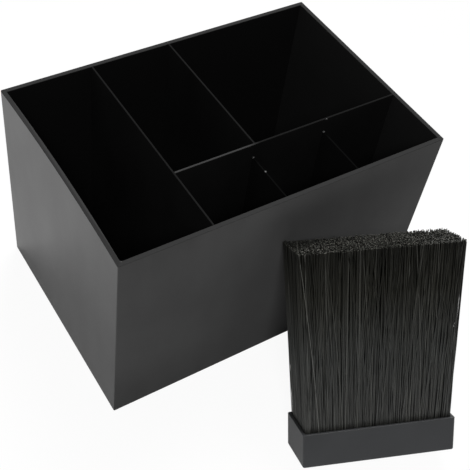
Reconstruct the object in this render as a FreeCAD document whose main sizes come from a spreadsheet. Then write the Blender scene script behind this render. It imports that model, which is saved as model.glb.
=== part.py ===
import FreeCAD, Part
import math
import os
import Sketcher

# Salon tool organizer: an open box of black sheet plastic with six compartments, and a bristle
# insert that lifts out of it and here leans on the front wall. Millimetres, +Z up, +X to the
# right along the front wall, +Y to the back. The origin is the centre of the box's underside.

# Driving dimensions.
SIZES = [
    # The box.
    ("box_width", 230.0),
    ("box_depth", 158.0),
    ("box_height", 151.0),
    ("wall_thickness", 3.0),
    ("base_thickness", 3.0),
    ("corner_radius", 0.8),
    ("foot_radius", 0.5),
    ("rim_radius", 0.3),
    # How far the left wall has bowed inwards at the middle of its free upper edge.
    ("left_wall_bow", 1.6),
    # The dividers, and the clear widths between them.
    ("divider_thickness", 1.2),
    ("divider_radius", 0.2),
    ("left_bay_width", 58.1),
    ("middle_bay_width", 55.8),
    ("centre_bay_width", 52.8),
    ("front_row_depth", 44.8),
    ("low_divider_drop", 11.0),
    # The insert's tray.
    ("tray_width", 100.0),
    ("tray_depth", 34.0),
    ("tray_height", 22.5),
    ("tray_wall", 2.0),
    ("tray_floor", 2.0),
    ("tray_corner_radius", 1.4),
    ("tray_foot_radius", 1.0),
    ("tray_rim_radius", 0.35),
    # The bristles: tufts that stand in a fused root block and spread towards their tips.
    ("root_clearance", 0.3),
    ("root_height", 8.0),
    ("bristle_top", 138.0),
    ("tuft_pitch", 3.3),
    ("tuft_across", 2.7),
    ("tip_across", 3.25),
    ("splay_across", 5.4),
    ("splay_depth", 1.8),
    ("tip_trim", 0.8),
    # How the insert leans, in degrees from upright and from square to the front wall.
    ("lean_tilt", 34.5),
    ("lean_turn", 20.5),
    ("lean_from_left", 131.0),
    ("lean_gap", 0.4),
]

# Sizes and places that follow from them.
DERIVED = [
    ("inside_width", "=box_width - 2 * wall_thickness"),
    ("inside_depth", "=box_depth - 2 * wall_thickness"),
    ("divider_height", "=box_height - base_thickness"),
    ("low_divider_height", "=divider_height - low_divider_drop"),
    ("long_divider_x", "=-box_width / 2 + wall_thickness + left_bay_width + divider_thickness / 2"),
    ("middle_divider_x", "=long_divider_x + middle_bay_width + divider_thickness"),
    ("right_divider_x", "=middle_divider_x + centre_bay_width + divider_thickness"),
    ("cross_divider_y", "=-inside_depth / 2 + front_row_depth + divider_thickness / 2"),
    ("cross_divider_length", "=inside_width - left_bay_width - divider_thickness"),
    ("cross_divider_x", "=inside_width / 2 - cross_divider_length / 2"),
    ("rear_divider_length", "=inside_depth - front_row_depth - divider_thickness"),
    ("rear_divider_y", "=inside_depth / 2 - rear_divider_length / 2"),
    ("low_divider_y", "=-inside_depth / 2 + front_row_depth / 2"),
    ("root_width", "=tray_width - 2 * tray_wall - 2 * root_clearance"),
    ("root_depth", "=tray_depth - 2 * tray_wall - 2 * root_clearance"),
    # The middles of the outermost tips.
    ("tip_half_width", "=root_width / 2 + splay_across - tip_across / 2"),
    ("tip_half_depth", "=root_depth / 2 + splay_depth - tip_across / 2"),
    # How far the rear left tuft's tip lies behind the middle of the tray's underside, and how
    # far its six-sided outline reaches beyond that. It stops lean_gap in front of the wall.
    ("tilted_back", "=tip_half_depth * cos(lean_tilt) + bristle_top * sin(lean_tilt)"),
    ("tuft_reach", "=tip_half_width * sin(lean_turn) + tilted_back * cos(lean_turn)"),
    ("corner_reach",
     "=tip_across / 4 * (sin(lean_turn) + sqrt(3) * cos(lean_tilt) * cos(lean_turn))"),
    # The rounded lower edge of the tray touches the floor.
    ("edge_lift", "=tray_foot_radius * (sin(lean_tilt) + cos(lean_tilt) - 1)"),
    ("insert_x", "=-box_width / 2 + lean_from_left"),
    ("insert_y", "=-box_depth / 2 - lean_gap - tuft_reach - corner_reach"),
    ("insert_z", "=tray_depth / 2 * sin(lean_tilt) - edge_lift"),
]

doc = FreeCAD.newDocument("salon_tool_organizer")
sizes = doc.addObject("Spreadsheet::Sheet", "sizes")
for row, (alias, value) in enumerate(SIZES + DERIVED, start=1):
    sizes.set(f"A{row}", alias)
    sizes.set(f"B{row}", str(value))
    sizes.setAlias(f"B{row}", alias)
doc.recompute()


def size(alias):
    return float(sizes.get(alias))


def same(a, b):
    return abs(a - b) < 1e-4


def new_body(label):
    body = doc.addObject("PartDesign::Body", label)
    body.Label = label
    return body


def new_sketch(body, name, plane_role):
    sketch = body.newObject("Sketcher::SketchObject", name)
    plane = next(item for item in body.Origin.OriginFeatures if item.Role == plane_role)
    sketch.AttachmentSupport = [(plane, "")]
    sketch.MapMode = "FlatFace"
    return sketch


def sized(sketch, constraint, formula):
    """Adds a constraint whose value follows the sheet."""
    index = sketch.addConstraint(constraint)
    sketch.setExpression(f"Constraints[{index}]", formula)


def rectangle(sketch, width, depth, start_width, start_depth):
    """A rectangle about the sketch's origin. The start values are only its first shape."""
    x = start_width / 2
    y = start_depth / 2
    corners = [(-x, -y), (x, -y), (x, y), (-x, y)]
    points = [FreeCAD.Vector(cx, cy, 0) for cx, cy in corners]
    sides = [
        sketch.addGeometry(Part.LineSegment(points[i], points[(i + 1) % 4])) for i in range(4)
    ]
    for i in range(4):
        sketch.addConstraint(Sketcher.Constraint("Coincident", sides[i], 2, sides[(i + 1) % 4], 1))
        direction = "Vertical" if i % 2 else "Horizontal"
        sketch.addConstraint(Sketcher.Constraint(direction, sides[i]))
    sketch.addConstraint(Sketcher.Constraint("Symmetric", sides[0], 1, sides[1], 2, -1, 1))
    across = Sketcher.Constraint("DistanceX", sides[0], 1, sides[0], 2, start_width)
    along = Sketcher.Constraint("DistanceY", sides[1], 1, sides[1], 2, start_depth)
    sized(sketch, across, width)
    sized(sketch, along, depth)


def pad(body, name, sketch, length):
    feature = body.newObject("PartDesign::Pad", name)
    feature.Profile = sketch
    feature.setExpression("Length", length)
    return feature


def edges_where(shape, wanted):
    """Names of the edges that pass a test on the edge and its middle point."""
    names = []
    for number, edge in enumerate(shape.Edges, start=1):
        middle = edge.valueAt((edge.FirstParameter + edge.LastParameter) / 2)
        if wanted(edge, middle):
            names.append(f"Edge{number}")
    return names


def fillet(body, name, radius, wanted):
    doc.recompute()
    base = body.Tip
    feature = body.newObject("PartDesign::Fillet", name)
    feature.Base = (base, edges_where(base.Shape, wanted))
    feature.setExpression("Radius", radius)


def place(part, x="0", y="0", z="0", turn="0", roll="0"):
    """Ties a part's place to the sheet: roll about its own X axis first, then turn about Z."""
    part.setExpression(
        "Placement",
        f"create(<<placement>>; create(<<vector>>; {x}; {y}; {z}); "
        f"create(<<rotation>>; {turn}; 0; {roll}))",
    )


def follows_x(edge):
    """True for an edge that runs more along X than a mitre's edge does."""
    run = edge.Vertexes[-1].Point - edge.Vertexes[0].Point
    return abs(run.x) > 1.5 * abs(run.y)


# The four walls. Each is drawn in plan with its outer face on the sketch's X axis. Its ends are
# mitred through the centre of the rounded corner that it shares with the next wall.
def wall_plan(body, name, length, lift=None, bow=None):
    """A wall's outline, at a height. With a bow, its long sides curve inwards by that much."""
    plan = new_sketch(body, name, "XY_Plane")
    if lift:
        plan.setExpression("AttachmentOffset.Base.z", lift)
    half = size(length) / 2
    thick = size("wall_thickness")
    radius = size("corner_radius")
    on_mitre = radius - radius / math.sqrt(2)
    point = FreeCAD.Vector
    up = point(0, 0, 1)
    rule = Sketcher.Constraint

    def long_side(end, y):
        """From the right end to the left."""
        if bow:
            return plan.addGeometry(
                Part.Arc(point(end, y), point(0, y + size(bow)), point(-end, y)))
        return plan.addGeometry(Part.LineSegment(point(end, y), point(-end, y)))

    inner = long_side(half - thick, thick)
    outer = long_side(half - radius, 0)
    right = plan.addGeometry(
        Part.LineSegment(point(half - thick, thick), point(half - on_mitre, on_mitre)))
    right_round = Part.Circle(point(half - radius, radius), up, radius)
    right_arc = plan.addGeometry(
        Part.ArcOfCircle(right_round, math.radians(270), math.radians(315)))
    left_round = Part.Circle(point(radius - half, radius), up, radius)
    left_arc = plan.addGeometry(
        Part.ArcOfCircle(left_round, math.radians(225), math.radians(270)))
    left = plan.addGeometry(
        Part.LineSegment(point(on_mitre - half, on_mitre), point(thick - half, thick)))
    plan.addConstraint([
        rule("Coincident", inner, 1, right, 1),
        rule("Coincident", right, 2, right_arc, 2),
        rule("Coincident", left_arc, 1, left, 1),
        rule("Coincident", left, 2, inner, 2),
        rule("PointOnObject", outer, 1, -1),
        rule("Symmetric", outer, 1, outer, 2, -2),
        rule("Symmetric", inner, 1, inner, 2, -2),
        rule("PointOnObject", right_arc, 3, right),
        rule("PointOnObject", left_arc, 3, left),
        rule("Equal", right_arc, left_arc),
    ])
    if bow:
        plan.addConstraint([
            rule("Coincident", right_arc, 1, outer, 1),
            rule("Coincident", outer, 2, left_arc, 2),
            rule("Vertical", right_arc, 3, right_arc, 1),
            rule("Vertical", left_arc, 3, left_arc, 2),
        ])
        for side, inset in ((inner, "wall_thickness"), (outer, "corner_radius")):
            chord = f"(sizes.{length} / 2 - sizes.{inset})"
            start_radius = ((half - size(inset)) ** 2 + size(bow) ** 2) / (2 * size(bow))
            sized(plan, rule("Radius", side, start_radius),
                  f"({chord} ^ 2 + sizes.{bow} ^ 2) / (2 * sizes.{bow})")
    else:
        plan.addConstraint([
            rule("Tangent", right_arc, 1, outer, 1),
            rule("Tangent", outer, 2, left_arc, 2),
        ])
    sized(plan, rule("DistanceX", inner, 2, inner, 1, 2 * (half - thick)),
          f"sizes.{length} - 2 * sizes.wall_thickness")
    sized(plan, rule("DistanceX", outer, 2, outer, 1, 2 * (half - radius)),
          f"sizes.{length} - 2 * sizes.corner_radius")
    sized(plan, rule("DistanceY", outer, 1, inner, 1, thick), "sizes.wall_thickness")
    sized(plan, rule("Radius", right_arc, radius), "sizes.corner_radius")
    return plan


def wall(label, length, x="0", y="0", turn="0", bow=None):
    body = new_body(label)
    plan = wall_plan(body, f"{label}_plan", length)
    if bow:
        # The base and the neighbours hold the sheet straight along three sides.
        pad(body, f"{label}_held_strip", plan, "sizes.base_thickness")
        straight = wall_plan(body, f"{label}_straight", length, "sizes.base_thickness")
        bowed = wall_plan(body, f"{label}_bowed", length, "sizes.box_height", bow)
        sheet = body.newObject("PartDesign::AdditiveLoft", f"{label}_sheet")
        sheet.Profile = straight
        sheet.Sections = [bowed]
        sheet.Ruled = True
    else:
        pad(body, f"{label}_sheet", plan, "sizes.box_height")
    height = size("box_height")
    fillet(body, f"{label}_rim", "sizes.rim_radius",
           lambda edge, middle: same(middle.z, height) and follows_x(edge))
    outside = size("corner_radius")
    fillet(body, f"{label}_foot", "sizes.foot_radius",
           lambda edge, middle: same(middle.z, 0) and middle.y < outside and follows_x(edge))
    place(body, x, y, turn=turn)


wall("front_wall", "box_width", y="-sizes.box_depth / 2")
wall("back_wall", "box_width", y="sizes.box_depth / 2", turn="180")
wall("left_wall", "box_depth", x="-sizes.box_width / 2", turn="-90", bow="left_wall_bow")
wall("right_wall", "box_depth", x="sizes.box_width / 2", turn="90")


# The base lies between the four walls, level with their lower edges.
base = new_body("base_panel")
base_plan = new_sketch(base, "base_plan", "XY_Plane")
rectangle(base_plan, "sizes.inside_width", "sizes.inside_depth",
          size("inside_width"), size("inside_depth"))
pad(base, "base_sheet", base_plan, "sizes.base_thickness")


# The dividers stand on the base. Each is drawn in plan about its own middle, along X.
def divider(label, length, height, x="0", y="0", turn="0"):
    body = new_body(label)
    plan = new_sketch(body, f"{label}_plan", "XY_Plane")
    rectangle(plan, f"sizes.{length}", "sizes.divider_thickness",
              size(length), size("divider_thickness"))
    pad(body, f"{label}_sheet", plan, f"sizes.{height}")
    top = size(height)
    fillet(body, f"{label}_edge", "sizes.divider_radius",
           lambda edge, middle: same(middle.z, top) and follows_x(edge))
    place(body, x, y, "sizes.base_thickness", turn)


divider("long_divider", "inside_depth", "divider_height", x="sizes.long_divider_x", turn="90")
divider("cross_divider", "cross_divider_length", "divider_height",
        x="sizes.cross_divider_x", y="sizes.cross_divider_y")
divider("rear_divider", "rear_divider_length", "divider_height",
        x="sizes.middle_divider_x", y="sizes.rear_divider_y", turn="90")
divider("low_divider_left", "front_row_depth", "low_divider_height",
        x="sizes.middle_divider_x", y="sizes.low_divider_y", turn="90")
divider("low_divider_right", "front_row_depth", "low_divider_height",
        x="sizes.right_divider_x", y="sizes.low_divider_y", turn="90")


def lean(part):
    """Stands a piece of the insert on the tray's rear lower edge, against the front wall."""
    place(part, "sizes.insert_x", "sizes.insert_y", "sizes.insert_z",
          turn="-sizes.lean_turn", roll="-sizes.lean_tilt")


# The insert's tray: an open moulding, drawn about the middle of its underside.
tray = new_body("insert_tray")
tray_plan = new_sketch(tray, "tray_plan", "XY_Plane")
rectangle(tray_plan, "sizes.tray_width", "sizes.tray_depth",
          size("tray_width"), size("tray_depth"))
pad(tray, "tray_block", tray_plan, "sizes.tray_height")
fillet(tray, "tray_corners", "sizes.tray_corner_radius",
       lambda edge, middle: same(abs(edge.Curve.Direction.z), 1))
fillet(tray, "tray_foot", "sizes.tray_foot_radius",
       lambda edge, middle: same(middle.z, 0))
doc.recompute()
well_plan = new_sketch(tray, "well_plan", "XY_Plane")
well_plan.setExpression("AttachmentOffset.Base.z", "sizes.tray_height")
rectangle(well_plan, "sizes.tray_width - 2 * sizes.tray_wall",
          "sizes.tray_depth - 2 * sizes.tray_wall",
          size("tray_width") - 2 * size("tray_wall"), size("tray_depth") - 2 * size("tray_wall"))
well = tray.newObject("PartDesign::Pocket", "tray_well")
well.Profile = well_plan
well.setExpression("Length", "sizes.tray_height - sizes.tray_floor")
tray_top = size("tray_height")
fillet(tray, "tray_rim", "sizes.tray_rim_radius",
       lambda edge, middle: same(middle.z, tray_top))
lean(tray)


# The bristles: staggered rows of six-sided tufts, each drawn from its root to a wider tip that
# leans outwards, all fused to the root block. The rows run from the back to the front and start
# with a full one, whose first tuft isn't trimmed: it is the one that rests on the wall.
def hexagon(x, y, z, across):
    corners = []
    for step in range(7):
        angle = math.radians(60 * step)
        corners.append(FreeCAD.Vector(x + across / 2 * math.cos(angle),
                                      y + across / 2 * math.sin(angle), z))
    return corners


def tuft_faces(root, tip):
    faces = [Part.Face(Part.makePolygon(tip))]
    for i in range(6):
        side = [root[i], root[i + 1], tip[i + 1], tip[i], root[i]]
        faces.append(Part.Face(Part.makePolygon(side)))
    return faces


def spread(count, half):
    """Evenly spaced places on both sides of zero, from -half to half."""
    return [half * (2 * i / (count - 1) - 1) for i in range(count)]


def bristle_shape():
    across = size("tuft_across")
    half_width = (size("root_width") - across) / 2
    half_depth = (size("root_depth") - across) / 2
    tip_scale_x = size("tip_half_width") / half_width
    tip_scale_y = size("tip_half_depth") / half_depth
    pitch = size("tuft_pitch")
    columns = int(2 * half_width / pitch) + 1
    rows = 2 * int(half_depth / (pitch * math.cos(math.radians(30)))) + 1
    shift = half_width / (columns - 1)
    low = size("tray_floor")
    high = low + size("root_height")
    holes = []
    faces = []
    for j, y in enumerate(spread(rows, -half_depth)):
        full = spread(columns, half_width)
        row_places = [x + shift for x in full[:-1]] if j % 2 else full
        for i, x in enumerate(row_places):
            trim = size("tip_trim") * ((7 * i + 11 * j) % 6) / 5
            root = hexagon(x, y, high, across)
            tip = hexagon(x * tip_scale_x, y * tip_scale_y,
                          size("bristle_top") - trim, size("tip_across"))
            holes.append(Part.Face(Part.makePolygon(root)))
            faces += tuft_faces(root, tip)
    block = Part.makeBox(size("root_width"), size("root_depth"), size("root_height"),
                         FreeCAD.Vector(-size("root_width") / 2, -size("root_depth") / 2, low))
    top = next(face for face in block.Faces if same(face.CenterOfMass.z, high))
    faces += [face for face in block.Faces if not face.isSame(top)]
    faces += top.cut(Part.makeCompound(holes)).Faces
    shell = Part.makeShell(faces)
    shell.sewShape()
    return Part.makeSolid(shell)


bristles = doc.addObject("Part::Feature", "bristle_block")
bristles.Label = "bristle_block"
bristles.Shape = bristle_shape()
lean(bristles)

doc.recompute()

# Every feature has to be sound before anything is written.
for item in doc.Objects:
    if "Invalid" in item.State or "Error" in item.State:
        raise RuntimeError(f"{item.Name} failed: {item.State}")

parts = [item for item in doc.Objects if item.isDerivedFrom("PartDesign::Body")] + [bristles]
os.makedirs("parts", exist_ok=True)
for part in parts:
    if part.Shape.isNull() or not part.Shape.isValid() or not part.Shape.Solids:
        raise RuntimeError(f"{part.Label} has no valid solid")
for part in parts:
    part.Shape.exportStep(os.path.join("parts", f"{part.Label}.step"))
    print(f"{part.Label}: {len(part.Shape.Solids)} solid, {part.Shape.Volume / 1000:.2f} cm3")
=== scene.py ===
import math

import bmesh
import bpy
from mathutils import Matrix, Vector


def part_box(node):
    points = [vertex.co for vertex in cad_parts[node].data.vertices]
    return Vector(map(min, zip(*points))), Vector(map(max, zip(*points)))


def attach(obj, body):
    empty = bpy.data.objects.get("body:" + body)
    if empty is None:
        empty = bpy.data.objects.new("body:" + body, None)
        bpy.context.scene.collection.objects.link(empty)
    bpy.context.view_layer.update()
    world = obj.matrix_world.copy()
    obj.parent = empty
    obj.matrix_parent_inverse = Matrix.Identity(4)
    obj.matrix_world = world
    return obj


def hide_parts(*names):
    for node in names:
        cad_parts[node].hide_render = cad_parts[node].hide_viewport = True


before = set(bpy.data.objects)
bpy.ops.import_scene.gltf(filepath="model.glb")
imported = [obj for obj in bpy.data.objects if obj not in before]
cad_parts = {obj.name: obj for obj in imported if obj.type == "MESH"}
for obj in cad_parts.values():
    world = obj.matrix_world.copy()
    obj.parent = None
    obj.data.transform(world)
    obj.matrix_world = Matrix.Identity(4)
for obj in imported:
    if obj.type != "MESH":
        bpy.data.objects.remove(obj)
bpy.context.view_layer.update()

# The finishes and the bristles of a salon tool organizer: a black box of sheet plastic with six
# compartments, and a bristle insert that leans on its front wall. Metres, +Z up, +X to the right
# along the front wall. The origin is the centre of the box's underside.

MM = 0.001
WHITE = (1.0, 1.0, 1.0, 1.0)

# How the insert stands, in degrees: leaning back from upright, and turned from the front wall.
LEAN_TILT = 34.5
LEAN_TURN = 20.5

# The filaments, and the tray that they stand in.
FILAMENT_PITCH = 0.74 * MM
FILAMENT_RADIUS = 0.29 * MM
FILAMENT_SIDES = 4
TIP_TRIM = 0.9 * MM
BRISTLE_TOP = 138.0 * MM
TRAY_WALL = 2.0 * MM
TRAY_FLOOR = 2.0 * MM
ROOT_GAP = 0.8 * MM
ROOT_LIFT = 1.0 * MM

# The shares of a strand's length between which it comes out of the tray's shade.
SHADE_DEEP = 0.135
SHADE_CLEAR = 0.175
# A cut end's face looks up more steeply than this, and a strand's side less.
END_STEEPNESS = 0.8

# The box's sheet is cloudy where it has been handled, and smoother on its inner face.
WALL = 3.0 * MM
CLOUDINESS = 0.12
OUTER_ROUGH = 0.44
INNER_ROUGH = 0.34

# The places between which the inner skin gives way to the outer one, measured outwards from the
# middle of a wall. They lie near the inner face, because the left wall bows inwards.
SKIN_INNER = -1.4 * MM
SKIN_OUTER = -1.1 * MM

# Sawn upper edges: the depths between which their finish fades out, and how much duller they are.
SAWN_END = 0.5 * MM
SAWN_FULL = 0.2 * MM
SAWN_DULLNESS = 0.45

# The tray's rim carries a painted highlight, a paler tone that fades out in the same way.
RIM_HIGHLIGHT_END = 0.4 * MM
RIM_HIGHLIGHT_FULL = 0.1 * MM

# The cross divider's edge is this much paler left of the rear divider, and stops being so over
# this distance.
EDGE_PALENESS = 4.5
PALE_EDGE_FADE = 4.0 * MM


class Nodes:
    """Short calls that add nodes to a tree."""

    def __init__(self, tree):
        self.tree = tree

    def node(self, kind, settings=None, **inputs):
        made = self.tree.nodes.new(kind)
        for key, value in (settings or {}).items():
            setattr(made, key, value)
        for key, value in inputs.items():
            self.feed(made.inputs[key.replace("_", " ")], value)
        return made

    def feed(self, socket, value):
        if isinstance(value, bpy.types.NodeSocket):
            self.tree.links.new(value, socket)
        else:
            socket.default_value = value

    def math(self, operation, first, second=0.0):
        made = self.tree.nodes.new("ShaderNodeMath")
        made.operation = operation
        self.feed(made.inputs[0], first)
        self.feed(made.inputs[1], second)
        return made.outputs[0]

    def product(self, first, *others):
        for other in others:
            first = self.math("MULTIPLY", first, other)
        return first

    def parts(self, vector):
        """The X, Y and Z of a vector."""
        return self.node("ShaderNodeSeparateXYZ", Vector=vector).outputs


class Shader(Nodes):
    """Builds a material. Its place is in world metres, as the pieces lie at rest."""

    def __init__(self, name):
        self.material = bpy.data.materials.new(name)
        self.material.use_nodes = True
        super().__init__(self.material.node_tree)
        self.tree.nodes.clear()
        self.output = self.tree.nodes.new("ShaderNodeOutputMaterial")
        self.place = self.tree.nodes.new("ShaderNodeTexCoord").outputs["Object"]

    def noise(self, scale, detail, stretch=(1.0, 1.0, 1.0)):
        spread = self.node("ShaderNodeMapping", Vector=self.place, Scale=stretch)
        return self.node("ShaderNodeTexNoise", Vector=spread.outputs["Vector"],
                         Scale=scale, Detail=detail).outputs["Fac"]

    def between(self, value, low, high, from_low=0.0, from_high=1.0):
        """Takes a value from one range to another, and holds it at the ends."""
        made = self.tree.nodes.new("ShaderNodeMapRange")
        for socket, setting in zip(made.inputs, (value, from_low, from_high, low, high)):
            self.feed(socket, setting)
        return made.outputs["Result"]

    def colours(self, value, *stops):
        ramp = self.node("ShaderNodeValToRGB", Fac=value)
        elements = ramp.color_ramp.elements
        while len(elements) < len(stops):
            elements.new(0.5)
        for element, (position, colour) in zip(elements, stops):
            element.position = position
            element.color = opaque(colour)
        return ramp.outputs["Color"]

    def mix(self, share, first, second, blend="MIX"):
        made = self.node("ShaderNodeMixRGB", {"blend_type": blend}, Fac=share,
                         Color1=first, Color2=second)
        return made.outputs[0]

    def bump(self, height, distance, strength, below=None):
        made = self.node("ShaderNodeBump", Height=height, Distance=distance, Strength=strength)
        if below is not None:
            self.feed(made.inputs["Normal"], below)
        return made.outputs["Normal"]

    def attribute(self, name):
        return self.node("ShaderNodeAttribute", {"attribute_name": name}).outputs["Fac"]

    def surface(self, colour, roughness, normal, index):
        shader = self.node("ShaderNodeBsdfPrincipled", Normal=normal, IOR=index)
        self.feed(shader.inputs["Base Color"], colour)
        self.feed(shader.inputs["Roughness"], roughness)
        self.tree.links.new(shader.outputs["BSDF"], self.output.inputs["Surface"])
        return self.material


def grey(value):
    return (value, value, value)


def opaque(colour):
    return (*colour, 1.0)


def sheet_tones(s, dark, pale, rough):
    """Colour, roughness and bump of black sheet plastic, cloudy where it has been handled."""
    cloud = s.noise(14.0, 3.0)
    grain = s.noise(2600.0, 2.0)
    rub = s.noise(60.0, 4.0, (1.0, 1.0, 0.35))
    tone = s.math("ADD", s.math("MULTIPLY", cloud, 0.7), s.math("MULTIPLY", rub, 0.3))
    colour = s.colours(tone, (0.35, grey(dark)), (0.65, grey(pale)))
    roughness = s.math("ADD", s.between(tone, rough - 0.03, rough + 0.03, 0.35, 0.65),
                       s.between(grain, -0.02, 0.02, 0.3, 0.7))
    normal = s.bump(grain, 0.02 * MM, 0.5, s.bump(cloud, 0.6 * MM, 0.25))
    return colour, roughness, normal


def sawn_edge(s, colour, roughness, top, edge_colour):
    """Sawn upper edges have their own tone, and are duller than the sheet's faces."""
    height = s.parts(s.place)["Z"]
    sawn = s.between(height, 0.0, 1.0, top - SAWN_END, top - SAWN_FULL)
    dull = s.math("ADD", roughness, s.math("MULTIPLY", sawn, SAWN_DULLNESS))
    return s.mix(sawn, colour, edge_colour), dull


def wall_sheet(name, tone, index, inner_painted_shade, rim_tone):
    """The box's sheet: frosted outside, and smoother on its inner face, whose darker tone is
    painted shade inside the box.
    """
    s = Shader(name)
    colour, roughness, normal = sheet_tones(s, tone * (1.0 - CLOUDINESS),
                                            tone * (1.0 + CLOUDINESS), OUTER_ROUGH)
    at = s.parts(s.place)
    beyond_x = s.math("SUBTRACT", s.math("ABSOLUTE", at["X"]), wall_middle.x)
    beyond_y = s.math("SUBTRACT", s.math("ABSOLUTE", at["Y"]), wall_middle.y)
    outward = s.math("MAXIMUM", beyond_x, beyond_y)
    outside = s.between(outward, 0.0, 1.0, SKIN_INNER, SKIN_OUTER)
    # The inner face's darker tone is painted shade inside the box.
    skin = s.mix(outside, opaque(grey(inner_painted_shade)), colour)
    rougher = s.math("MULTIPLY", outside, s.math("SUBTRACT", roughness, INNER_ROUGH))
    finish, dull = sawn_edge(s, skin, s.math("ADD", rougher, INNER_ROUGH), wall_high.z,
                             opaque(grey(rim_tone)))
    return s.surface(finish, dull, normal, index)


def thin_sheet(name, dark, pale, rough, index, top, edge_tone, paler_to=None):
    """The thin black sheet of the dividers and the base. The edge can be paler up to a
    place along X."""
    s = Shader(name)
    colour, roughness, normal = sheet_tones(s, dark, pale, rough)
    edge_colour = opaque(grey(edge_tone))
    if paler_to is not None:
        pale_part = s.between(s.parts(s.place)["X"], 1.0, 0.0, paler_to - PALE_EDGE_FADE,
                            paler_to + PALE_EDGE_FADE)
        edge_colour = s.mix(pale_part, edge_colour, opaque(grey(edge_tone * EDGE_PALENESS)))
    finish, dull = sawn_edge(s, colour, roughness, top, edge_colour)
    return s.surface(finish, dull, normal, index)


def tray_moulding(name, up, top):
    """Dark grey moulded plastic with a soft spark-eroded texture. Its rim is painted a little
    paler, a painted highlight. Up is the way the tray's walls rise, and top how far the rim
    lies that way."""
    s = Shader(name)
    cloud = s.noise(40.0, 3.0)
    grain = s.noise(1800.0, 3.0)
    colour = s.colours(cloud, (0.3, (0.0255, 0.0270, 0.0290)), (0.7, (0.0315, 0.0330, 0.0355)))
    height = s.node("ShaderNodeVectorMath", {"operation": "DOT_PRODUCT"})
    s.feed(height.inputs[0], s.place)
    s.feed(height.inputs[1], up)
    rim_highlight = s.between(height.outputs["Value"], 0.0, 1.0, top - RIM_HIGHLIGHT_END, top - RIM_HIGHLIGHT_FULL)
    # The rim's paler tone is a painted highlight.
    finish = s.mix(rim_highlight, colour, opaque((0.040, 0.041, 0.043)))
    roughness = s.between(grain, 0.42, 0.52, 0.3, 0.7)
    normal = s.bump(grain, 0.03 * MM, 0.6, s.bump(cloud, 0.3 * MM, 0.2))
    return s.surface(finish, roughness, normal, 1.45)


def filament(name):
    """Black drawn filament. Each strand has its own shade. Inside the tray it is painted dark as
    painted shade; above the tray it is paler, and darker towards its pale cut end."""
    s = Shader(name)
    strand = s.attribute("strand")
    streak = s.noise(900.0, 2.0, (1.0, 1.0, 0.05))
    shade = s.colours(strand, (0.0, (0.0033, 0.0033, 0.0023)), (0.6, (0.0085, 0.0085, 0.0062)),
                      (0.93, (0.0185, 0.0185, 0.0145)), (1.0, (0.075, 0.075, 0.068)))
    # Painted shade inside the tray, then paler above it and darker towards the tip.
    tray_shade_and_length_tone = s.colours(s.attribute("along"), (0.0, grey(0.004)), (SHADE_DEEP, grey(0.004)),
                     (SHADE_CLEAR, (0.054, 0.055, 0.054)), (0.5, (0.040, 0.042, 0.041)),
                     (0.8, (0.010, 0.010, 0.008)), (1.0, grey(0.0)))
    # The cut ends are paler: partly the rough cut's own tone, partly a painted highlight of the
    # light that the tips catch.
    end_tone = s.colours(strand, (0.0, (0.050, 0.050, 0.045)), (0.6, (0.130, 0.130, 0.117)),
                         (1.0, (0.380, 0.380, 0.342)))
    side = s.mix(1.0, shade, tray_shade_and_length_tone, "ADD")
    colour = s.mix(s.attribute("cut_end"), side, end_tone)
    roughness = s.between(streak, 0.38, 0.52, 0.3, 0.7)
    return s.surface(colour, roughness, s.bump(streak, 0.01 * MM, 0.3), 1.32)


def cement(name):
    """Beads of dried cement, whitish in patches: partly the cement's own pale tone, partly a
    painted glint.
    """
    s = Shader(name)
    pale_and_glint_patches = s.noise(1500.0, 1.0)
    colour = s.colours(pale_and_glint_patches, (0.35, grey(0.03)), (0.7, grey(0.13)))
    roughness = s.between(pale_and_glint_patches, 0.22, 0.4, 0.3, 0.7)
    return s.surface(colour, roughness, s.bump(pale_and_glint_patches, 0.05 * MM, 0.5), 1.45)


def dress(nodes, material):
    """Gives CAD nodes their finish."""
    for name in nodes:
        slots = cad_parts[name].data.materials
        slots.clear()
        slots.append(material)


# The middle of each wall's thickness, on the walls' four sides.
wall_low, wall_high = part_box("front_wall")
wall_middle = Vector((wall_high.x - WALL / 2, -wall_low.y - WALL / 2))
tall_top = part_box("long_divider")[1].z

# The four walls are one sheet. Their outer and rim tones differ from wall to wall as painted light
# and shade; the front wall's pale tone is painted light on its face.
dress(("front_wall",), wall_sheet("frosted_front_sheet", tone=0.060, index=1.05,
                                  inner_painted_shade=0.008, rim_tone=0.035))
dress(("left_wall",), wall_sheet("frosted_left_sheet", tone=0.0095, index=1.62,
                                 inner_painted_shade=0.008, rim_tone=0.002))
dress(("right_wall",), wall_sheet("frosted_right_sheet", tone=0.023, index=1.36,
                                  inner_painted_shade=0.010, rim_tone=0.018))
dress(("back_wall",), wall_sheet("frosted_back_sheet", tone=0.023, index=1.36,
                                 inner_painted_shade=0.006, rim_tone=0.020))
dress(("base_panel",), thin_sheet("base_sheet", dark=0.004, pale=0.006, rough=0.4, index=1.3,
                                  top=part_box("base_panel")[1].z, edge_tone=0.005))
dress(("long_divider", "rear_divider"),
      thin_sheet("tall_divider_sheet", dark=0.008, pale=0.012, rough=0.34, index=1.12,
                 top=tall_top, edge_tone=0.010))
dress(("cross_divider",),
      thin_sheet("cross_divider_sheet", dark=0.006, pale=0.009, rough=0.34, index=1.12,
                 top=tall_top, edge_tone=0.010, paler_to=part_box("rear_divider")[0].x))
# The low dividers' edges are painted darker: painted shade, as they stand lower in the box.
dress(("low_divider_left", "low_divider_right"),
      thin_sheet("low_divider_sheet", dark=0.006, pale=0.009, rough=0.3, index=1.01,
                 top=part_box("low_divider_left")[1].z, edge_tone=0.004))

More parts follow.
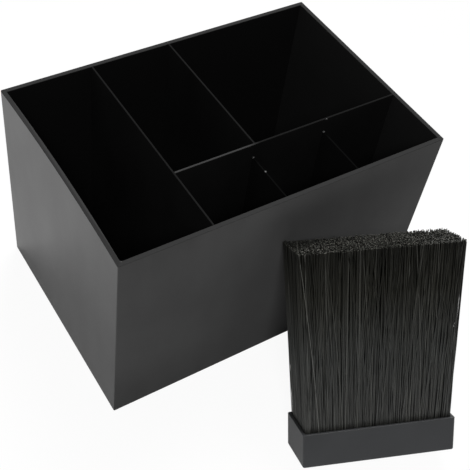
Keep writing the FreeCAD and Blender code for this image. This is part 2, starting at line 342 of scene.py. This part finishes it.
# The insert's own axes: X along the tray, Y to its rear side, Z along the filaments.
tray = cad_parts["insert_tray"]
insert_turn = (Matrix.Rotation(math.radians(-LEAN_TURN), 4, "Z")
               @ Matrix.Rotation(math.radians(-LEAN_TILT), 4, "X"))
upright = [insert_turn.inverted() @ corner.co for corner in tray.data.vertices]
tray_low = Vector([min(p[i] for p in upright) for i in range(3)])
tray_high = Vector([max(p[i] for p in upright) for i in range(3)])
tray_middle = (tray_low + tray_high) / 2
insert_origin = insert_turn @ Vector((tray_middle.x, tray_middle.y, tray_low.z))
insert_up = insert_turn @ Vector((0.0, 0.0, 1.0))
dress(("insert_tray",), tray_moulding("tray_moulding", insert_up, tray_high.z))


class Field(Nodes):
    """Builds a geometry node tree with named inputs."""

    def __init__(self, name, inputs):
        super().__init__(bpy.data.node_groups.new(name, "GeometryNodeTree"))
        sockets = self.tree.interface
        self.identifiers = {}
        self.values = {}
        for label, (kind, value) in inputs.items():
            made = sockets.new_socket(label, in_out="INPUT", socket_type=kind)
            self.identifiers[label] = made.identifier
            self.values[label] = value
        sockets.new_socket("Geometry", in_out="OUTPUT", socket_type="NodeSocketGeometry")
        self.inputs = self.tree.nodes.new("NodeGroupInput").outputs
        self.result = self.tree.nodes.new("NodeGroupOutput").inputs["Geometry"]

    def random(self, low, high, identity, step):
        """A number for each identity, the same at every run. Each step of the seed draws anew."""
        made = self.node("FunctionNodeRandomValue", {"data_type": "FLOAT"})
        floats = [socket for socket in made.inputs if socket.type == "VALUE"]
        self.feed(floats[0], low)
        self.feed(floats[1], high)
        self.feed(made.inputs["ID"], identity)
        self.feed(made.inputs["Seed"], self.math("ADD", self.inputs["Seed"], step))
        return next(socket for socket in made.outputs if socket.type == "VALUE")

    def vector(self, x, y, z):
        return self.node("ShaderNodeCombineXYZ", X=x, Y=y, Z=z).outputs[0]

    def store(self, geometry, name, value, domain="POINT"):
        """Keeps a value for the material to read."""
        made = self.node("GeometryNodeStoreNamedAttribute",
                         {"data_type": "FLOAT", "domain": domain},
                         Geometry=geometry, Name=name, Value=value)
        return made.outputs[0]

    def mesh(self, name):
        """Runs the tree on an empty object and returns the result as a plain mesh object."""
        carrier = bpy.data.objects.new(name + "_field", bpy.data.meshes.new(name + "_field"))
        bpy.context.scene.collection.objects.link(carrier)
        modifier = carrier.modifiers.new("field", "NODES")
        modifier.node_group = self.tree
        for label, identifier in self.identifiers.items():
            modifier[identifier] = self.values[label]
        graph = bpy.context.evaluated_depsgraph_get()
        mesh = bpy.data.meshes.new_from_object(carrier.evaluated_get(graph), depsgraph=graph)
        carrier.modifiers.remove(modifier)
        bpy.data.objects.remove(carrier)
        mesh.name = name
        made = bpy.data.objects.new(name, mesh)
        bpy.context.scene.collection.objects.link(made)
        return made


# The steps of the bristles' seed: where a root stands, how a strand strays along each axis, how
# it bows along each axis, how short it is cut, and its shade.
ROOT_X_STEP = 0.0
ROOT_Y_STEP = 1.0
STRAY_X_STEP = 2.0
BOW_X_STEP = 3.0
STRAY_Y_STEP = 4.0
BOW_Y_STEP = 5.0
CUT_STEP = 7.0
SHADE_STEP = 9.0


def bristles():
    """Thousands of filaments that stand in the tray, spread a little and cross here and there."""
    width = tray_high.x - tray_low.x - 2 * (TRAY_WALL + ROOT_GAP + FILAMENT_RADIUS)
    depth = tray_high.y - tray_low.y - 2 * (TRAY_WALL + ROOT_GAP + FILAMENT_RADIUS)
    base = TRAY_FLOOR + ROOT_LIFT
    f = Field("bristle_field", {
        "Width": ("NodeSocketFloat", width),
        "Depth": ("NodeSocketFloat", depth),
        "Pitch": ("NodeSocketFloat", FILAMENT_PITCH),
        "Base": ("NodeSocketFloat", base),
        "Length": ("NodeSocketFloat", BRISTLE_TOP - base),
        "Radius": ("NodeSocketFloat", FILAMENT_RADIUS),
        "Jitter": ("NodeSocketFloat", 0.3 * MM),
        "Spread": ("NodeSocketFloat", 0.104),
        "Wander": ("NodeSocketFloat", 0.7 * MM),
        "Stray": ("NodeSocketFloat", 13.0 * MM),
        "Stray across": ("NodeSocketFloat", 1.5 * MM),
        "Bow": ("NodeSocketFloat", 0.5 * MM),
        "Fringe": ("NodeSocketFloat", 1.6 * MM),
        "Proud": ("NodeSocketFloat", 1.6 * MM),
        "Tuft": ("NodeSocketFloat", 1.3 * MM),
        "Tuft scale": ("NodeSocketFloat", 170.0),
        "Trim": ("NodeSocketFloat", TIP_TRIM),
        "Outer rows": ("NodeSocketFloat", 2.6),
        "Outer steps": ("NodeSocketInt", 9),
        "Inner steps": ("NodeSocketInt", 3),
        "Seed": ("NodeSocketInt", 11),
        "Turn": ("NodeSocketVector", (math.radians(-LEAN_TILT), 0.0, math.radians(-LEAN_TURN))),
        "Origin": ("NodeSocketVector", tuple(insert_origin)),
        "Finish": ("NodeSocketMaterial", filament("black_filament")),
    })
    given = f.inputs
    index = f.node("GeometryNodeInputIndex").outputs[0]
    columns = f.math("ROUND", f.math("DIVIDE", given["Width"], given["Pitch"]))
    rows = f.math("ROUND", f.math("DIVIDE", given["Depth"], given["Pitch"]))
    roots = f.node("GeometryNodeMeshGrid", Size_X=given["Width"], Size_Y=given["Depth"],
                   Vertices_X=columns, Vertices_Y=rows)
    away = f.math("MULTIPLY", given["Jitter"], -1.0)
    shift = f.vector(f.random(away, given["Jitter"], index, ROOT_X_STEP),
                     f.random(away, given["Jitter"], index, ROOT_Y_STEP), 0.0)
    scattered = f.node("GeometryNodeSetPosition", Geometry=roots.outputs["Mesh"], Offset=shift)
    line = f.node("GeometryNodeCurvePrimitiveLine", End=f.vector(0.0, 0.0, given["Length"]))
    planted = f.node("GeometryNodeInstanceOnPoints", Points=scattered.outputs[0],
                     Instance=line.outputs[0])
    strands = f.node("GeometryNodeRealizeInstances", Geometry=planted.outputs[0])

    place = f.parts(f.node("GeometryNodeInputPosition").outputs[0])
    rim = f.math("MULTIPLY", given["Pitch"], given["Outer rows"])
    half_width = f.math("MULTIPLY", given["Width"], 0.5)
    half_depth = f.math("MULTIPLY", given["Depth"], 0.5)
    from_side = f.math("SUBTRACT", half_width, f.math("ABSOLUTE", place["X"]))
    from_face = f.math("SUBTRACT", half_depth, f.math("ABSOLUTE", place["Y"]))
    outer = f.math("LESS_THAN", f.math("MINIMUM", from_side, from_face), rim)

    # The strands that show get more points, because they are the ones whose bends show.
    more = f.math("SUBTRACT", given["Outer steps"], given["Inner steps"])
    count = f.math("ADD", given["Inner steps"], f.math("MULTIPLY", outer, more))
    stepped = f.node("GeometryNodeResampleCurve", Curve=strands.outputs[0], Count=count)

    # Every point of a strand knows how far along it lies and which strand it belongs to.
    along = f.node("GeometryNodeSplineParameter").outputs["Factor"]
    which = f.node("GeometryNodeCurveOfPoint").outputs["Curve Index"]
    tipward = f.math("POWER", along, 1.5)
    belly = f.math("SINE", f.math("MULTIPLY", along, math.pi))
    clump = f.node("ShaderNodeTexNoise", {"noise_dimensions": "2D"},
                   Vector=f.vector(place["X"], f.math("MULTIPLY", place["Y"], 0.6), 0.0),
                   Scale=given["Tuft scale"], Detail=2.0).outputs["Color"]
    lean_with = f.parts(clump)

    # A strand that crosses its neighbours on a side face lies on top of them.
    crossing = f.math("ABSOLUTE", f.random(-1.0, 1.0, which, STRAY_X_STEP))
    outwards = f.math("MULTIPLY", f.math("SIGN", place["Y"]), belly)
    proud = f.product(f.math("POWER", crossing, 4.0), given["Proud"], outwards)

    def sway(root, half, far, group, stray_step, bow_step, lift=0.0):
        """Sideways offset: the field's spread, the tuft's lean, a wander, a rare stray, a bow.
        No strand leaves the fan's outline by more than a small fringe."""
        draw = f.random(-1.0, 1.0, which, stray_step)
        bend = f.random(-1.0, 1.0, which, bow_step)
        stray = f.math("MULTIPLY", f.math("POWER", draw, 3.0), far)
        drift = f.math("ADD", f.math("MULTIPLY", draw, given["Wander"]), stray)
        # The noise keeps within about a quarter of its middle, so this is about the tuft's lean.
        together = f.product(f.math("SUBTRACT", group, 0.5), 4.0, given["Tuft"])
        moved = f.math("MULTIPLY", f.math("ADD", drift, together), tipward)
        spread = f.product(root, given["Spread"], along)
        bow = f.product(bend, given["Bow"], belly)
        fringe = f.product(bend, bend, along, given["Fringe"])
        fan = f.math("ADD", 1.0, f.math("MULTIPLY", given["Spread"], along))
        edge = f.math("ADD", f.math("MULTIPLY", half, fan), fringe)
        free = f.math("ADD", f.math("ADD", spread, moved), bow)
        reached = f.math("ADD", root, free)
        kept = f.math("MAXIMUM", f.math("MINIMUM", reached, edge), f.math("MULTIPLY", edge, -1.0))
        return f.math("SUBTRACT", f.math("ADD", kept, lift), root)

    cut = f.random(0.0, 1.0, which, CUT_STEP)
    drop = f.product(cut, given["Trim"], f.math("MULTIPLY", along, -1.0))
    offset = f.vector(
        sway(place["X"], half_width, given["Stray"], lean_with["X"], STRAY_X_STEP, BOW_X_STEP),
        sway(place["Y"], half_depth, given["Stray across"], lean_with["Y"], STRAY_Y_STEP,
             BOW_Y_STEP, proud),
        f.math("ADD", drop, given["Base"]))
    bent = f.node("GeometryNodeSetPosition", Geometry=stepped.outputs[0], Offset=offset)
    shaded = f.store(bent.outputs[0], "strand", f.random(0.0, 1.0, which, SHADE_STEP))
    measured = f.store(shaded, "along", along)
    profile = f.node("GeometryNodeCurvePrimitiveCircle", Resolution=FILAMENT_SIDES,
                     Radius=given["Radius"])
    tubes = f.node("GeometryNodeCurveToMesh", Curve=measured, Profile_Curve=profile.outputs[0],
                   Fill_Caps=True)
    facing = f.parts(f.node("GeometryNodeInputNormal").outputs[0])["Z"]
    ends = f.store(tubes.outputs[0], "cut_end", f.math("GREATER_THAN", facing, END_STEEPNESS),
                   "FACE")
    side = f.math("LESS_THAN", f.math("ABSOLUTE", facing), END_STEEPNESS)
    smooth = f.node("GeometryNodeSetShadeSmooth", Geometry=ends, Shade_Smooth=side)
    leaning = f.node("GeometryNodeTransform", Geometry=smooth.outputs[0],
                     Translation=given["Origin"], Rotation=given["Turn"])
    whole = f.node("GeometryNodeRealizeInstances", Geometry=leaning.outputs[0])
    finished = f.node("GeometryNodeSetMaterial", Geometry=whole.outputs[0],
                      Material=given["Finish"])
    f.tree.links.new(finished.outputs[0], f.result)
    return f.mesh("bristles")


def cement_beads(name):
    """Small flattened lumps of dried cement, sunk into the sheets that they join: behind and on
    the low dividers, on the cross divider's edge, and in the inner corner nearest the viewer."""
    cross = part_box("cross_divider")
    left_low, left_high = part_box("low_divider_left")
    right_low, right_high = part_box("low_divider_right")
    left_x = (left_low.x + left_high.x) / 2
    right_x = (right_low.x + right_high.x) / 2
    corner = Vector((wall_low.x, wall_low.y)) + Vector((WALL, WALL))
    # Each bead's middle, its radii, and its turn round the vertical.
    beads = (
        ((left_x, cross[0].y - 0.3 * MM, left_high.z), (0.8 * MM, 0.8 * MM, 0.7 * MM), 0.0),
        ((left_x, left_high.y - 14.0 * MM, left_high.z), (0.75 * MM, 0.8 * MM, 0.5 * MM), 0.0),
        ((right_x, cross[0].y - 0.3 * MM, right_high.z), (0.8 * MM, 0.8 * MM, 0.7 * MM), 0.0),
        ((right_x, cross[0].y, cross[1].z - 0.5 * MM), (0.8 * MM, 0.3 * MM, 0.5 * MM), 0.0),
        ((corner.x, corner.y, wall_high.z - 1.6 * MM), (1.5 * MM, 0.7 * MM, 1.9 * MM),
         math.radians(-45.0)),
    )
    mesh = bmesh.new()
    for place, radii, turn in beads:
        made = bmesh.ops.create_icosphere(mesh, subdivisions=3, radius=1.0)
        shape = (Matrix.Translation(place) @ Matrix.Rotation(turn, 4, "Z")
                 @ Matrix.Diagonal(opaque(radii)))
        bmesh.ops.transform(mesh, matrix=shape, verts=made["verts"])
    for face in mesh.faces:
        face.smooth = True
    data = bpy.data.meshes.new(name)
    mesh.to_mesh(data)
    mesh.free()
    data.materials.append(cement("dried_cement"))
    made = bpy.data.objects.new(name, data)
    bpy.context.scene.collection.objects.link(made)
    return made


beads = cement_beads("cement_beads")
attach(beads, "box")

bristle_field = bristles()
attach(bristle_field, "insert")
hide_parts("bristle_block")

# The table as the camera sees it is plain white by this share near the box, and wholly so beyond
# the farther of the two distances. The rest is lit by the lamps, and keeps the shadow.
PLAIN_SHARE = 0.93
PLAIN_FROM = 0.12
PLAIN_ALL = 0.45
# How much of the plain white is seen in the box's faces, and how bright the fill light is.
MIRRORED_SHARE = 0.15
FILL_LIGHT = 0.2


def white_table(name):
    """A white table top with a soft shadow near the box, and no horizon."""
    s = Shader(name)
    paper = s.noise(30.0, 2.0)
    colour = s.colours(paper, (0.3, grey(0.98)), (0.7, grey(1.0)))
    table = s.node("ShaderNodeBsdfDiffuse", Color=colour)
    white = s.node("ShaderNodeEmission", Color=WHITE, Strength=1.0)
    rays = s.node("ShaderNodeLightPath").outputs
    mirrored = s.math("MAXIMUM", rays["Is Glossy Ray"], rays["Is Transmission Ray"])
    distance = s.node("ShaderNodeVectorMath", {"operation": "LENGTH"}, Vector=s.place)
    plain = s.between(distance.outputs["Value"], PLAIN_SHARE, 1.0, PLAIN_FROM, PLAIN_ALL)
    share = s.math("ADD", s.math("MULTIPLY", rays["Is Camera Ray"], plain),
                   s.math("MULTIPLY", mirrored, MIRRORED_SHARE))
    mixed = s.tree.nodes.new("ShaderNodeMixShader")
    s.feed(mixed.inputs[0], share)
    s.feed(mixed.inputs[1], table.outputs[0])
    s.feed(mixed.inputs[2], white.outputs[0])
    s.tree.links.new(mixed.outputs[0], s.output.inputs["Surface"])
    return s.material


def softbox(name, place, target, side, power):
    """A square lamp that looks at its target."""
    lamp = bpy.data.lights.new(name, "AREA")
    lamp.shape = "SQUARE"
    lamp.size = side
    lamp.energy = power
    made = bpy.data.objects.new(name, lamp)
    made.location = place
    made.rotation_euler = (Vector(target) - Vector(place)).to_track_quat("-Z", "Y").to_euler()
    bpy.context.scene.collection.objects.link(made)


def stage():
    """The white table, the surroundings and the lamps: the key light is behind the box."""
    bpy.ops.mesh.primitive_plane_add(size=8.0)
    floor = bpy.context.object
    floor.name = "table_top"
    floor.data.materials.append(white_table("white_table"))

    world = bpy.data.worlds.new("studio")
    world.use_nodes = True
    sky = world.node_tree.nodes["Background"].inputs
    sky["Color"].default_value = WHITE
    # Plain white where the camera sees it, and a soft fill light everywhere else.
    seen = world.node_tree.nodes.new("ShaderNodeLightPath").outputs["Is Camera Ray"]
    level = world.node_tree.nodes.new("ShaderNodeMapRange")
    level.inputs["To Min"].default_value = FILL_LIGHT
    level.inputs["To Max"].default_value = 1.0
    world.node_tree.links.new(seen, level.inputs["Value"])
    world.node_tree.links.new(level.outputs["Result"], sky["Strength"])
    bpy.context.scene.world = world

    softbox("back_softbox", (0.6, 0.6, 1.7), (0.0, 0.0, 0.05), side=0.8, power=28.0)
    softbox("front_softbox", (-0.75, -1.25, 1.8), (0.0, -0.1, 0.05), side=0.5, power=21.0)


# The camera that the photograph's perspective gives for this box: its place, its angles in
# degrees, its focal length in millimetres, and its shift.
CAMERA_PLACE = (-0.2605, -0.3454, 0.5295)
CAMERA_HEADING = 36.49
CAMERA_DOWN = 49.89
CAMERA_ROLL = 7.59
CAMERA_LENS = 69.69
CAMERA_SENSOR = 36.0
CAMERA_SHIFT = (0.0773, 0.0360)


def camera():
    lens = bpy.data.cameras.new("photo_camera")
    lens.lens = CAMERA_LENS
    lens.sensor_width = CAMERA_SENSOR
    lens.shift_x, lens.shift_y = CAMERA_SHIFT
    lens.clip_start = 0.01
    made = bpy.data.objects.new("photo_camera", lens)
    made.matrix_world = (Matrix.Translation(CAMERA_PLACE)
                         @ Matrix.Rotation(math.radians(-CAMERA_HEADING), 4, "Z")
                         @ Matrix.Rotation(math.radians(90.0 - CAMERA_DOWN), 4, "X")
                         @ Matrix.Rotation(math.radians(CAMERA_ROLL), 4, "Z"))
    bpy.context.scene.collection.objects.link(made)
    bpy.context.scene.camera = made


stage()
camera()
bpy.context.scene.view_settings.view_transform = "Standard"
